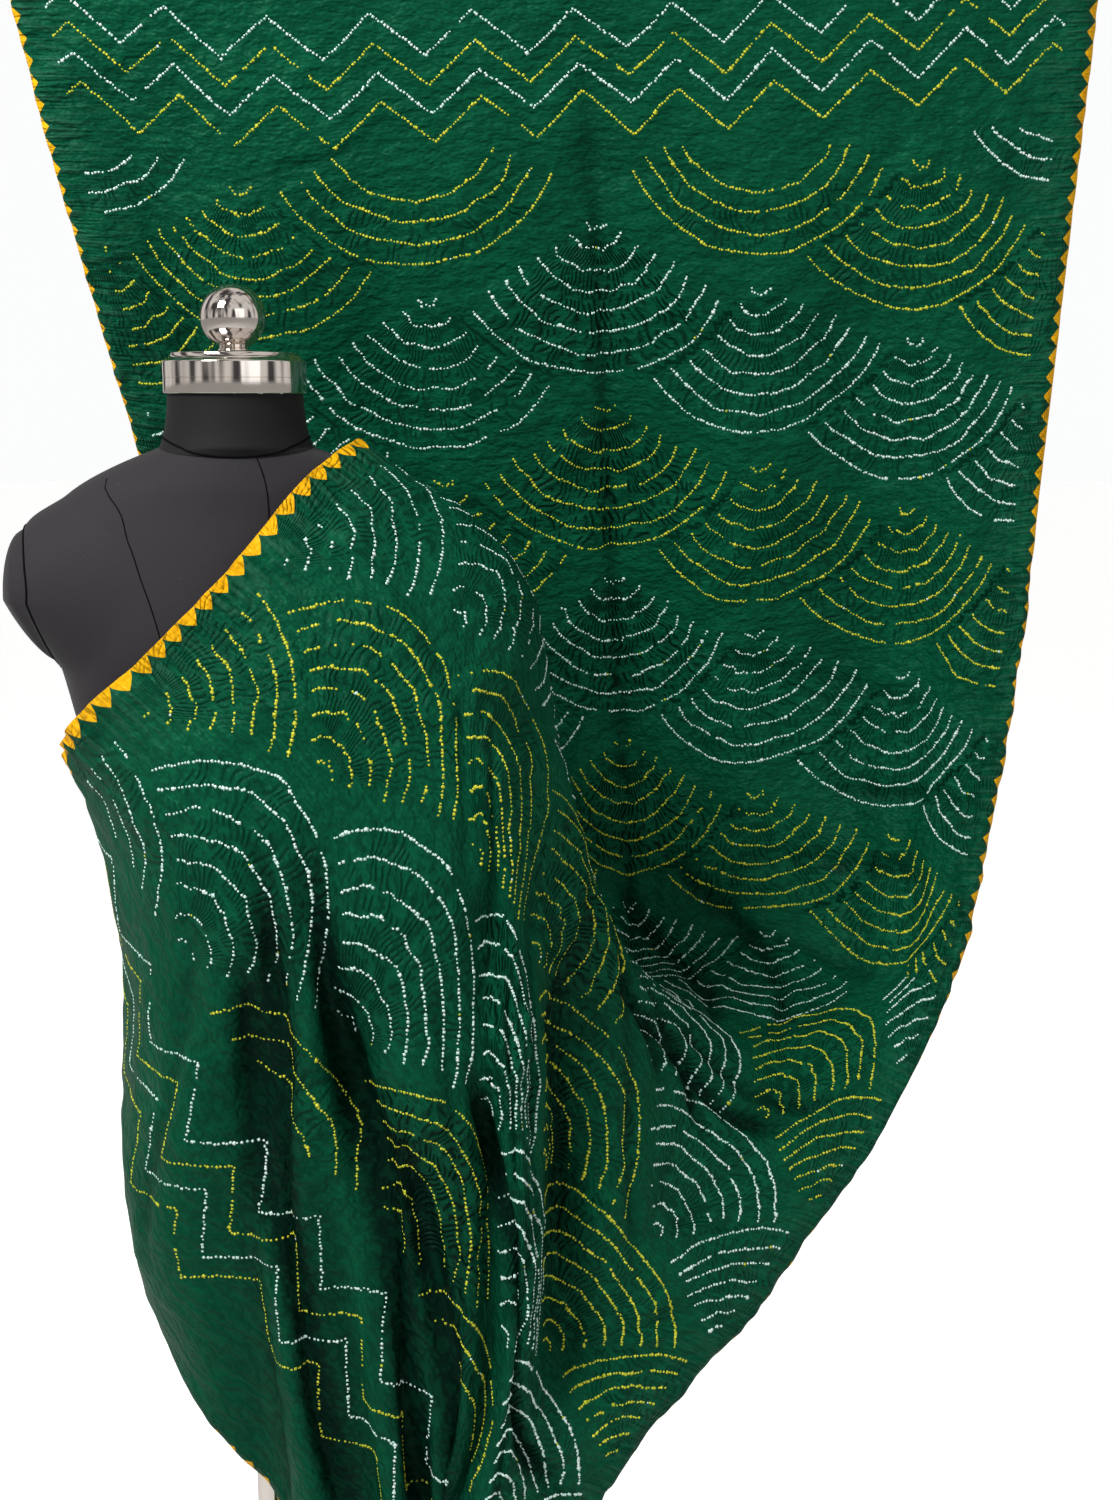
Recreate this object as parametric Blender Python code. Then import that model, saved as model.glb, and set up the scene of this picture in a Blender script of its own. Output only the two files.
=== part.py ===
"""A bandhani cloth draped on a plain dress form that stands on a pole and a round base.

Units are metres, +Z is up, and the origin is the middle of the base's underside.
The cloth is one sheet. It hangs by its top end as a back panel, falls behind the
form, comes forward and up over the form's shoulder, and crosses the chest to the
far underarm. Its lower corner hangs in front of the hip.
"""

import math

import bmesh
import bpy
import numpy as np
from mathutils import Matrix

# The cloth as it was cut, and its sheet
CLOTH_WIDTH = 0.98
CLOTH_LENGTH = 2.10
CLOTH_THICKNESS = 0.0015
CELLS_ACROSS = 38
CELLS_ALONG = 66

# The form, its cap and its stand
FORM_TURN = math.radians(8.0)
NECK_TOP = 1.470
TORSO_TOP = 1.426
TORSO_FOOT = 0.775
GAP = 0.0003
ARM_STUB_HEIGHT = 1.302
BALL_RADIUS = 0.0245
BALL_HEIGHT = 1.536
BALL_STEM_RADIUS = 0.010
BALL_STEPS = 10
BALL_TOP_ANGLE = 0.12
POLE_RADIUS = 0.0125

# How finely round things are drawn, and where their shading breaks
RING_POINTS = 32
SMALL_RING_POINTS = 24
BASE_RING_POINTS = 40
SHARP_ANGLE = math.radians(50)

# Where the table's columns lie across the cloth, from the left selvedge
ACROSS = (0.0, 0.185, 0.34, 0.495, 0.65, 0.805, 0.98)

# A row for each section across the cloth: its distance along the cloth from the top
# end, then where its seven columns lie, as x, y, z
SECTIONS = (
    # the back panel, from its top end
    (0.00, (-0.246, 0.160, 1.907), (-0.048, 0.160, 1.912), (0.113, 0.165, 1.917),
     (0.274, 0.165, 1.919), (0.434, 0.165, 1.922), (0.592, 0.160, 1.922), (0.768, 0.160, 1.924)),
    (0.30, (-0.196, 0.215, 1.630), (-0.022, 0.215, 1.625), (0.141, 0.225, 1.637),
     (0.306, 0.230, 1.646), (0.460, 0.225, 1.645), (0.611, 0.212, 1.650), (0.757, 0.195, 1.658)),
    (0.60, (-0.145, 0.290, 1.365), (0.000, 0.300, 1.338), (0.162, 0.310, 1.340),
     (0.325, 0.315, 1.348), (0.477, 0.300, 1.356), (0.619, 0.270, 1.370), (0.743, 0.225, 1.386)),
    (0.80, (-0.105, 0.300, 1.175), (0.055, 0.320, 1.145), (0.195, 0.340, 1.145),
     (0.340, 0.360, 1.144), (0.478, 0.340, 1.156), (0.623, 0.290, 1.176), (0.722, 0.215, 1.200)),
    # the loop behind the form
    (0.95, (-0.020, 0.265, 1.080), (0.155, 0.300, 1.045), (0.240, 0.330, 1.015),
     (0.345, 0.345, 0.995), (0.486, 0.325, 1.010), (0.619, 0.270, 1.034), (0.696, 0.195, 1.058)),
    (1.10, (0.070, 0.200, 1.145), (0.225, 0.235, 1.100), (0.272, 0.262, 0.950),
     (0.350, 0.262, 0.893), (0.490, 0.270, 0.900), (0.608, 0.210, 0.905), (0.661, 0.160, 0.920)),
    (1.22, (0.098, 0.160, 1.262), (0.243, 0.162, 1.192), (0.283, 0.165, 1.025),
     (0.338, 0.155, 0.918), (0.446, 0.165, 0.868), (0.530, 0.135, 0.850), (0.610, 0.110, 0.815)),
    (1.34, (0.105, 0.105, 1.378), (0.240, 0.078, 1.284), (0.277, 0.065, 1.118),
     (0.325, 0.055, 0.985), (0.392, 0.065, 0.885), (0.448, 0.045, 0.792), (0.553, 0.065, 0.734)),
    # over the shoulder and down the front
    (1.42, (0.102, 0.032, 1.432), (0.234, 0.000, 1.322), (0.268, -0.005, 1.168),
     (0.305, -0.010, 1.025), (0.352, 0.000, 0.885), (0.398, -0.002, 0.765), (0.508, 0.028, 0.692)),
    (1.49, (0.072, -0.056, 1.409), (0.190, -0.078, 1.288), (0.232, -0.088, 1.172),
     (0.262, -0.080, 1.020), (0.310, -0.060, 0.878), (0.360, -0.045, 0.735), (0.470, -0.005, 0.650)),
    (1.60, (0.006, -0.112, 1.330), (0.122, -0.132, 1.222), (0.200, -0.122, 1.090),
     (0.238, -0.122, 0.945), (0.262, -0.105, 0.815), (0.302, -0.085, 0.685), (0.405, -0.050, 0.600)),
    (1.70, (-0.058, -0.116, 1.266), (0.062, -0.142, 1.144), (0.136, -0.142, 1.006),
     (0.212, -0.142, 0.872), (0.245, -0.135, 0.735), (0.258, -0.115, 0.620), (0.348, -0.078, 0.548)),
    (1.80, (-0.134, -0.078, 1.198), (-0.009, -0.134, 1.054), (0.068, -0.150, 0.915),
     (0.160, -0.150, 0.806), (0.216, -0.150, 0.645), (0.226, -0.140, 0.545), (0.300, -0.095, 0.480)),
    (1.90, (-0.152, 0.020, 1.145), (-0.080, -0.082, 0.965), (-0.018, -0.130, 0.830),
     (0.085, -0.148, 0.715), (0.156, -0.152, 0.560), (0.178, -0.150, 0.460), (0.262, -0.108, 0.410)),
    (2.00, (-0.112, 0.108, 1.115), (-0.118, 0.000, 0.905), (-0.096, -0.074, 0.750),
     (0.015, -0.128, 0.628), (0.108, -0.146, 0.495), (0.142, -0.148, 0.385), (0.224, -0.118, 0.330)),
    # the free end, from the form's back to the hanging corner
    (2.10, (-0.022, 0.140, 1.085), (-0.122, 0.085, 0.885), (-0.114, 0.000, 0.672),
     (-0.040, -0.082, 0.548), (0.052, -0.128, 0.435), (0.096, -0.140, 0.320), (0.172, -0.125, 0.240)),
)

# A row for each fold: where it starts and ends on the cloth, its half width and its
# depth. It deepens from its start, and a depth below nothing raises a ridge
FOLDS = (
    # start across, start along, end across, end along, half width, depth
    (0.215, 1.765, 0.530, 2.060, 0.042, 0.026),
    (0.260, 1.700, 0.640, 2.000, 0.048, 0.038),
    (0.430, 1.740, 0.720, 1.960, 0.042, 0.028),
    (0.460, 1.660, 0.760, 1.880, 0.042, 0.030),
    (0.500, 1.420, 0.800, 1.640, 0.050, 0.032),
    (0.340, 1.560, 0.500, 1.700, 0.035, 0.012),
    (0.500, 0.020, 0.500, 0.900, 0.035, 0.007),
    (0.350, 0.300, 0.400, 0.900, 0.060, -0.012),
    (0.620, 0.350, 0.640, 1.000, 0.060, -0.012),
    (0.730, 0.200, 0.740, 1.050, 0.045, 0.010),
    (0.870, 0.100, 0.880, 1.200, 0.040, -0.008),
    (0.090, 0.050, 0.110, 0.700, 0.050, 0.010),
)
# The share of a fold's length over which it deepens, and how steep its sides are
FOLD_RAMP = 0.30
FOLD_STEEPNESS = 1.4

# The torso's rings: height, half width, depth in front, depth behind
TORSO_RINGS = (
    (TORSO_TOP, 0.064, 0.057, 0.057),
    (1.414, 0.094, 0.062, 0.064),
    (1.398, 0.126, 0.068, 0.070),
    (1.372, 0.157, 0.074, 0.078),
    (1.340, 0.170, 0.084, 0.088),
    (1.290, 0.168, 0.098, 0.094),
    (1.245, 0.154, 0.108, 0.096),
    (1.180, 0.138, 0.114, 0.092),
    (1.100, 0.112, 0.098, 0.084),
    (0.985, 0.088, 0.078, 0.076),
    (0.900, 0.102, 0.086, 0.090),
    (0.820, 0.112, 0.092, 0.100),
    (TORSO_FOOT, 0.109, 0.090, 0.098),
)
# The neck's rings, from its flared seam up: height, radius
NECK_RINGS = (
    (TORSO_TOP + GAP, 0.064),
    (1.434, 0.0605),
    (1.444, 0.0580),
    (NECK_TOP, 0.0565),
)
# The cap's turned outline: radius, height above the neck
CAP_OUTLINE = (
    (0.0590, 0.0000),
    (0.0596, 0.0010),
    (0.0596, 0.0265),
    (0.0585, 0.0278),
    (0.0520, 0.0335),
    (0.0480, 0.0345),
)
# An arm stub's turned outline: radius, reach from the form's middle
ARM_STUB_OUTLINE = (
    (0.046, 0.100),
    (0.056, 0.175),
    (0.052, 0.187),
    (0.040, 0.195),
    (0.022, 0.197),
)
# The base's turned outline, from the floor up: radius, height
BASE_OUTLINE = (
    (0.178, 0.000),
    (0.180, 0.002),
    (0.180, 0.009),
    (0.176, 0.012),
    (0.040, 0.024),
    (0.024, 0.030),
)


def material(name, colour, roughness, metallic=0.0):
    made = bpy.data.materials.new(name)
    made.use_nodes = True
    shader = made.node_tree.nodes["Principled BSDF"]
    shader.inputs["Base Color"].default_value = (*colour, 1.0)
    shader.inputs["Roughness"].default_value = roughness
    shader.inputs["Metallic"].default_value = metallic
    return made


def add_object(name, mesh, finish):
    made = bpy.data.objects.new(name, mesh)
    bpy.context.scene.collection.objects.link(made)
    mesh.materials.append(finish)
    return made


def curve_through(knots, values, at):
    """Smooth cubic through the values at the knots, read at the places asked for."""
    knots = np.asarray(knots, float)
    values = np.asarray(values, float)
    spans = np.diff(knots)
    extra = (1,) * (values.ndim - 1)
    wide = spans.reshape(-1, *extra)
    slopes = np.diff(values, axis=0) / wide
    tangents = np.empty_like(values)
    tangents[0], tangents[-1] = slopes[0], slopes[-1]
    before, after = wide[:-1], wide[1:]
    tangents[1:-1] = (slopes[:-1] * after + slopes[1:] * before) / (before + after)
    cell = np.clip(np.searchsorted(knots, at, side="right") - 1, 0, len(spans) - 1)
    t = ((at - knots[cell]) / spans[cell]).reshape(-1, *extra)
    span = wide[cell]
    start, end = values[cell], values[cell + 1]
    rise, fall = tangents[cell] * span, tangents[cell + 1] * span
    return (
        start * (2 * t**3 - 3 * t**2 + 1)
        + rise * (t**3 - 2 * t**2 + t)
        + end * (3 * t**2 - 2 * t**3)
        + fall * (t**3 - t**2)
    )


def smooth_step(value):
    value = np.clip(value, 0.0, 1.0)
    return value * value * (3.0 - 2.0 * value)


def draped(across, along):
    """The sheet's middle surface before its folds, a row of points for each place along."""
    stations = [row[0] for row in SECTIONS]
    columns = np.array([row[1:] for row in SECTIONS])
    rows = curve_through(stations, columns, along)
    return curve_through(ACROSS, rows.transpose(1, 0, 2), across).transpose(1, 0, 2)


def normals_of(points):
    """Unit normals of a grid of points, towards the side that the pattern faces."""
    run_along = np.gradient(points, axis=0)
    run_across = np.gradient(points, axis=1)
    crossed = np.cross(run_along, run_across)
    return crossed / np.linalg.norm(crossed, axis=2, keepdims=True)


def fold_depth(across, along):
    """How far the folds push the sheet back, on a grid of places on the cloth."""
    u, v = np.meshgrid(across, along)
    depth = np.zeros_like(u)
    for u0, v0, u1, v1, half_width, deep in FOLDS:
        length = math.hypot(u1 - u0, v1 - v0)
        du, dv = (u1 - u0) / length, (v1 - v0) / length
        run = (u - u0) * du + (v - v0) * dv
        aside = (u - u0) * dv - (v - v0) * du
        profile = np.exp(-((aside / half_width) ** 2) * FOLD_STEEPNESS)
        ramp = smooth_step(run / (FOLD_RAMP * length))
        fade = 1.0 - smooth_step((run - length) / (FOLD_RAMP * length))
        depth += deep * profile * ramp * fade
    return depth


def cloth_surface(across, along):
    points = draped(across, along)
    return points - normals_of(points) * fold_depth(across, along)[..., None]


def sheet_mesh(name, points, thickness):
    """One closed sheet: the grid of points pushed half its thickness to each side."""
    away = normals_of(points) * (thickness / 2)
    rows, columns = points.shape[:2]
    front = (points + away).reshape(-1, 3)
    back = (points - away).reshape(-1, 3)
    count = rows * columns
    faces = []
    for r in range(rows - 1):
        for c in range(columns - 1):
            # each cell is split along the way that the folds run
            a = r * columns + c
            far = a + 1 + columns
            for corners in ((a, a + 1, far), (a, far, a + columns)):
                faces.append(corners[::-1])
                faces.append(tuple(i + count for i in corners))
    rim = list(range(columns - 1))
    rim += [r * columns + columns - 1 for r in range(rows - 1)]
    rim += [(rows - 1) * columns + c for c in range(columns - 1, 0, -1)]
    rim += [r * columns for r in range(rows - 1, 0, -1)]
    for here, there in zip(rim, rim[1:] + rim[:1]):
        faces.append((here, there, there + count, here + count))
    mesh = bpy.data.meshes.new(name)
    mesh.from_pydata(np.concatenate([front, back]).tolist(), [], faces)
    mesh.update()
    return mesh


def make_cloth():
    across = np.linspace(0.0, CLOTH_WIDTH, CELLS_ACROSS + 1)
    along = np.linspace(0.0, CLOTH_LENGTH, CELLS_ALONG + 1)
    mesh = sheet_mesh("cloth", cloth_surface(across, along), CLOTH_THICKNESS)
    outward = bmesh.new()
    outward.from_mesh(mesh)
    bmesh.ops.recalc_face_normals(outward, faces=outward.faces)
    outward.to_mesh(mesh)
    outward.free()
    mesh.shade_smooth()
    return add_object("cloth", mesh, material("cloth_silk", (0.004, 0.075, 0.032), 0.5))


def ringed_mesh(name, rings):
    """Closed mesh through stacked rings of equal count, the last ring uppermost."""
    mesh = bpy.data.meshes.new(name)
    made = bmesh.new()
    loops = [[made.verts.new(point) for point in ring] for ring in rings]
    count = len(loops[0])
    for low, high in zip(loops, loops[1:]):
        for i in range(count):
            j = (i + 1) % count
            made.faces.new((low[i], low[j], high[j], high[i]))
    made.faces.new(loops[0][::-1])
    made.faces.new(loops[-1])
    bmesh.ops.recalc_face_normals(made, faces=made.faces)
    made.to_mesh(mesh)
    made.free()
    mesh.shade_smooth()
    mesh.set_sharp_from_angle(angle=SHARP_ANGLE)
    return mesh


def circle(radius, height, count=RING_POINTS):
    steps = (2 * math.pi * i / count for i in range(count))
    return [(radius * math.cos(a), radius * math.sin(a), height) for a in steps]


def torso_ring(height, half_width, front, behind):
    ring = []
    for i in range(RING_POINTS):
        angle = 2 * math.pi * i / RING_POINTS
        depth = behind if math.sin(angle) > 0 else front
        ring.append((half_width * math.cos(angle), depth * math.sin(angle), height))
    return ring


def make_torso():
    rings = [torso_ring(*row) for row in reversed(TORSO_RINGS)]
    finish = material("form_jersey", (0.035, 0.033, 0.036), 0.75)
    torso = add_object("form_torso", ringed_mesh("form_torso", rings), finish)
    torso.rotation_euler.z = FORM_TURN
    for side in (-1, 1):
        stub_rings = [circle(radius, reach, SMALL_RING_POINTS) for radius, reach in ARM_STUB_OUTLINE]
        stub_mesh = ringed_mesh("arm_stub", stub_rings)
        lay_down = Matrix.Rotation(side * math.pi / 2, 4, "Y")
        stub_mesh.transform(lay_down)
        stub = add_object("arm_stub", stub_mesh, finish)
        stub.location.z = ARM_STUB_HEIGHT
        stub.hide_render = True
        stub.display_type = "WIRE"
        stub.parent = torso
        join = torso.modifiers.new("arm_stub", "BOOLEAN")
        join.operation = "UNION"
        join.object = stub
    return torso


def make_neck():
    rings = [circle(radius, height) for height, radius in NECK_RINGS]
    finish = material("neck_jersey", (0.030, 0.029, 0.031), 0.75)
    return add_object("form_neck", ringed_mesh("form_neck", rings), finish)


def make_cap():
    foot = NECK_TOP + GAP
    rings = [circle(radius, foot + height) for radius, height in CAP_OUTLINE]
    finish = material("cap_chrome", (0.75, 0.72, 0.70), 0.12, 1.0)
    return add_object("neck_cap", ringed_mesh("neck_cap", rings), finish)


def make_ball():
    foot = NECK_TOP + GAP + CAP_OUTLINE[-1][1] + GAP
    start = math.asin(BALL_STEM_RADIUS / BALL_RADIUS)
    rings = [circle(BALL_STEM_RADIUS, foot, SMALL_RING_POINTS)]
    for i in range(BALL_STEPS + 1):
        angle = start + (math.pi - BALL_TOP_ANGLE - start) * i / BALL_STEPS
        height = BALL_HEIGHT - BALL_RADIUS * math.cos(angle)
        rings.append(circle(BALL_RADIUS * math.sin(angle), height, SMALL_RING_POINTS))
    finish = material("ball_chrome", (0.75, 0.72, 0.70), 0.12, 1.0)
    return add_object("ball_finial", ringed_mesh("ball_finial", rings), finish)


def make_pole():
    ends = (BASE_OUTLINE[-1][1] + GAP, TORSO_FOOT - GAP)
    rings = [circle(POLE_RADIUS, height, SMALL_RING_POINTS) for height in ends]
    finish = material("pole_chrome", (0.70, 0.70, 0.70), 0.2, 1.0)
    return add_object("stand_pole", ringed_mesh("stand_pole", rings), finish)


def make_base():
    rings = [circle(radius, height, BASE_RING_POINTS) for radius, height in BASE_OUTLINE]
    finish = material("base_metal", (0.06, 0.06, 0.06), 0.4, 0.6)
    return add_object("stand_base", ringed_mesh("stand_base", rings), finish)


def main():
    for old in list(bpy.data.objects):
        bpy.data.objects.remove(old, do_unlink=True)
    make_cloth()
    make_torso()
    make_neck()
    make_cap()
    make_ball()
    make_pole()
    make_base()


main()
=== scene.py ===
"""The looks of a bandhani cloth draped on a dress form.

The silk is one fine sheet on the solid's own folds, with its creases and puckers.
The tied dots are small raised marks, laid out from the fans and zigzags of the
pattern in the cloth's own sizes. Units are metres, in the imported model's frame.
"""

import math

import bpy
import numpy as np
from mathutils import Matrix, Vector


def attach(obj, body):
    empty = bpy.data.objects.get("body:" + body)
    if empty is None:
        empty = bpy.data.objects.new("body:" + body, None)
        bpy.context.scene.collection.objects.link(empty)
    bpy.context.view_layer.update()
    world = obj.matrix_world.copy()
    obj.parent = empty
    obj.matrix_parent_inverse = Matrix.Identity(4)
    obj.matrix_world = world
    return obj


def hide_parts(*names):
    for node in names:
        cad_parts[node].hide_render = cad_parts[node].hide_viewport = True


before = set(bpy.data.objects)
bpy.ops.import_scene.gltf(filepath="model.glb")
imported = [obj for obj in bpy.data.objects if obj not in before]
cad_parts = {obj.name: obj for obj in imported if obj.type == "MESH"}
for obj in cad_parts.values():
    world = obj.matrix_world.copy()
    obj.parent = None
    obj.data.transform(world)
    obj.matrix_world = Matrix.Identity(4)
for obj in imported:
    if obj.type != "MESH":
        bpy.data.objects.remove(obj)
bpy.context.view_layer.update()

# The cloth as it was cut
CLOTH_WIDTH = 0.98
CLOTH_LENGTH = 2.10
FINE_ACROSS = 208
FINE_ALONG = 446

# Where the table's columns lie across the cloth, from the left selvedge
ACROSS = (0.0, 0.185, 0.34, 0.495, 0.65, 0.805, 0.98)

# A row for each section across the cloth: its distance along the cloth from the top
# end, then where its seven columns lie, as x, y, z
SECTIONS = (
    # the back panel, from its top end
    (0.00, (-0.246, 0.160, 1.907), (-0.048, 0.160, 1.912), (0.113, 0.165, 1.917),
     (0.274, 0.165, 1.919), (0.434, 0.165, 1.922), (0.592, 0.160, 1.922), (0.768, 0.160, 1.924)),
    (0.30, (-0.196, 0.215, 1.630), (-0.022, 0.215, 1.625), (0.141, 0.225, 1.637),
     (0.306, 0.230, 1.646), (0.460, 0.225, 1.645), (0.611, 0.212, 1.650), (0.757, 0.195, 1.658)),
    (0.60, (-0.145, 0.290, 1.365), (0.000, 0.300, 1.338), (0.162, 0.310, 1.340),
     (0.325, 0.315, 1.348), (0.477, 0.300, 1.356), (0.619, 0.270, 1.370), (0.743, 0.225, 1.386)),
    (0.80, (-0.105, 0.300, 1.175), (0.055, 0.320, 1.145), (0.195, 0.340, 1.145),
     (0.340, 0.360, 1.144), (0.478, 0.340, 1.156), (0.623, 0.290, 1.176), (0.722, 0.215, 1.200)),
    # the loop behind the form
    (0.95, (-0.020, 0.265, 1.080), (0.155, 0.300, 1.045), (0.240, 0.330, 1.015),
     (0.345, 0.345, 0.995), (0.486, 0.325, 1.010), (0.619, 0.270, 1.034), (0.696, 0.195, 1.058)),
    (1.10, (0.070, 0.200, 1.145), (0.225, 0.235, 1.100), (0.272, 0.262, 0.950),
     (0.350, 0.262, 0.893), (0.490, 0.270, 0.900), (0.608, 0.210, 0.905), (0.661, 0.160, 0.920)),
    (1.22, (0.098, 0.160, 1.262), (0.243, 0.162, 1.192), (0.283, 0.165, 1.025),
     (0.338, 0.155, 0.918), (0.446, 0.165, 0.868), (0.530, 0.135, 0.850), (0.610, 0.110, 0.815)),
    (1.34, (0.105, 0.105, 1.378), (0.240, 0.078, 1.284), (0.277, 0.065, 1.118),
     (0.325, 0.055, 0.985), (0.392, 0.065, 0.885), (0.448, 0.045, 0.792), (0.553, 0.065, 0.734)),
    # over the shoulder and down the front
    (1.42, (0.102, 0.032, 1.432), (0.234, 0.000, 1.322), (0.268, -0.005, 1.168),
     (0.305, -0.010, 1.025), (0.352, 0.000, 0.885), (0.398, -0.002, 0.765), (0.508, 0.028, 0.692)),
    (1.49, (0.072, -0.056, 1.409), (0.190, -0.078, 1.288), (0.232, -0.088, 1.172),
     (0.262, -0.080, 1.020), (0.310, -0.060, 0.878), (0.360, -0.045, 0.735), (0.470, -0.005, 0.650)),
    (1.60, (0.006, -0.112, 1.330), (0.122, -0.132, 1.222), (0.200, -0.122, 1.090),
     (0.238, -0.122, 0.945), (0.262, -0.105, 0.815), (0.302, -0.085, 0.685), (0.405, -0.050, 0.600)),
    (1.70, (-0.058, -0.116, 1.266), (0.062, -0.142, 1.144), (0.136, -0.142, 1.006),
     (0.212, -0.142, 0.872), (0.245, -0.135, 0.735), (0.258, -0.115, 0.620), (0.348, -0.078, 0.548)),
    (1.80, (-0.134, -0.078, 1.198), (-0.009, -0.134, 1.054), (0.068, -0.150, 0.915),
     (0.160, -0.150, 0.806), (0.216, -0.150, 0.645), (0.226, -0.140, 0.545), (0.300, -0.095, 0.480)),
    (1.90, (-0.152, 0.020, 1.145), (-0.080, -0.082, 0.965), (-0.018, -0.130, 0.830),
     (0.085, -0.148, 0.715), (0.156, -0.152, 0.560), (0.178, -0.150, 0.460), (0.262, -0.108, 0.410)),
    (2.00, (-0.112, 0.108, 1.115), (-0.118, 0.000, 0.905), (-0.096, -0.074, 0.750),
     (0.015, -0.128, 0.628), (0.108, -0.146, 0.495), (0.142, -0.148, 0.385), (0.224, -0.118, 0.330)),
    # the free end, from the form's back to the hanging corner
    (2.10, (-0.022, 0.140, 1.085), (-0.122, 0.085, 0.885), (-0.114, 0.000, 0.672),
     (-0.040, -0.082, 0.548), (0.052, -0.128, 0.435), (0.096, -0.140, 0.320), (0.172, -0.125, 0.240)),
)

# A row for each fold of the solid: where it starts and ends on the cloth, its half
# width and its depth. It deepens from its start, and below nothing it is a ridge
FOLDS = (
    # start across, start along, end across, end along, half width, depth
    (0.215, 1.765, 0.530, 2.060, 0.042, 0.026),
    (0.260, 1.700, 0.640, 2.000, 0.048, 0.038),
    (0.430, 1.740, 0.720, 1.960, 0.042, 0.028),
    (0.460, 1.660, 0.760, 1.880, 0.042, 0.030),
    (0.500, 1.420, 0.800, 1.640, 0.050, 0.032),
    (0.340, 1.560, 0.500, 1.700, 0.035, 0.012),
    (0.500, 0.020, 0.500, 0.900, 0.035, 0.007),
    (0.350, 0.300, 0.400, 0.900, 0.060, -0.012),
    (0.620, 0.350, 0.640, 1.000, 0.060, -0.012),
    (0.730, 0.200, 0.740, 1.050, 0.045, 0.010),
    (0.870, 0.100, 0.880, 1.200, 0.040, -0.008),
    (0.090, 0.050, 0.110, 0.700, 0.050, 0.010),
)
FOLD_RAMP = 0.30

# Creases too fine for the solid, in the same columns as the folds
CREASES = (
    # the fold line down the middle of the back panel
    (0.496, 0.110, 0.494, 1.020, 0.0070, 0.0050),
    # soft creases in the plain strip and below it
    (0.860, 0.160, 0.930, 0.235, 0.0080, 0.0026),
    (0.800, 0.235, 0.720, 0.300, 0.0070, 0.0022),
    (0.640, 0.265, 0.520, 0.275, 0.0090, 0.0022),
    (0.330, 0.230, 0.190, 0.260, 0.0080, 0.0022),
    (0.140, 0.140, 0.030, 0.190, 0.0070, 0.0024),
    (0.110, 0.330, 0.020, 0.345, 0.0070, 0.0020),
    (0.560, 0.730, 0.760, 0.800, 0.0100, 0.0030),
    (0.700, 0.900, 0.900, 0.930, 0.0120, 0.0040),
    (0.600, 0.970, 0.820, 1.000, 0.0120, 0.0040),
    (0.560, 1.060, 0.760, 1.110, 0.0110, 0.0040),
    # pulls on the chest, from the border inwards
    (0.030, 1.560, 0.140, 1.600, 0.0080, 0.0026),
    (0.020, 1.640, 0.120, 1.670, 0.0080, 0.0024),
    (0.060, 1.500, 0.230, 1.530, 0.0090, 0.0022),
    (0.120, 1.620, 0.260, 1.560, 0.0080, 0.0022),
    (0.160, 1.660, 0.300, 1.600, 0.0080, 0.0022),
    (0.220, 1.500, 0.330, 1.600, 0.0100, 0.0030),
    (0.280, 1.480, 0.420, 1.620, 0.0110, 0.0036),
    # long pulls from the waist down the front
    (0.180, 1.690, 0.420, 1.900, 0.0120, 0.0045),
    (0.340, 1.640, 0.640, 1.860, 0.0120, 0.0050),
    (0.400, 1.560, 0.700, 1.760, 0.0120, 0.0050),
    (0.140, 1.780, 0.330, 1.980, 0.0110, 0.0040),
    (0.320, 1.860, 0.560, 2.060, 0.0100, 0.0040),
    (0.560, 1.620, 0.860, 1.860, 0.0120, 0.0045),
    (0.420, 1.380, 0.700, 1.560, 0.0120, 0.0055),
    (0.460, 1.340, 0.760, 1.500, 0.0100, 0.0050),
    (0.380, 1.440, 0.640, 1.640, 0.0110, 0.0045),
    # the deep valleys that fall from the waist to the hanging corner
    (0.150, 1.722, 0.560, 1.985, 0.0160, 0.0190),
    (0.180, 1.690, 0.660, 1.922, 0.0160, 0.0210),
    (0.400, 1.774, 0.690, 1.880, 0.0140, 0.0150),
    (0.420, 1.680, 0.820, 1.757, 0.0150, 0.0160),
    (0.210, 1.795, 0.380, 1.892, 0.0130, 0.0130),
    (0.250, 1.745, 0.620, 1.955, 0.0150, -0.0060),
    # beside the fold line, where the panel turns forward
    (0.460, 0.960, 0.620, 1.220, 0.0130, 0.0080),
    (0.520, 0.930, 0.700, 1.180, 0.0130, 0.0070),
    # the dark valley that runs down into the loop
    (0.400, 1.372, 0.640, 1.402, 0.0100, 0.0110),
    (0.560, 1.405, 0.800, 1.330, 0.0120, 0.0130),
    (0.420, 1.335, 0.720, 1.372, 0.0100, 0.0110),
    (0.600, 1.350, 0.840, 1.290, 0.0100, 0.0080),
)
# Painted shade: a crease this deep is fully dark, and a fold this deep goes halfway there
CREASE_SHADE_DEPTH = 0.013
FOLD_SHADE_DEPTH = 0.034
FOLD_SHADE = 0.50

# The pattern: columns of fans, a band of zigzags near each end, a row of triangles
# along the edges
FAN_COLUMNS = (0, 1, -1, 2, -2, 3, -3)
COLUMN_PITCH = 0.155
COLUMN_CENTRE = 0.495
ROW_PITCH = 0.174
ARC_FIRST = 0.011
ARC_PITCH = 0.0194
ARCS = 8
FAN_REACH = ARC_FIRST + (ARCS - 1) * ARC_PITCH
FAN_SPREAD = math.radians(60)
DOT_PITCH = 0.0031
DOT_RADIUS = 0.00150
DOT_HEIGHT = 0.00060
PLAIN_EDGE = 0.036
# The fans keep between these places along, clear of both bands of zigzags
FANS_FROM = 0.238
FANS_TO = 1.845
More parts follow.
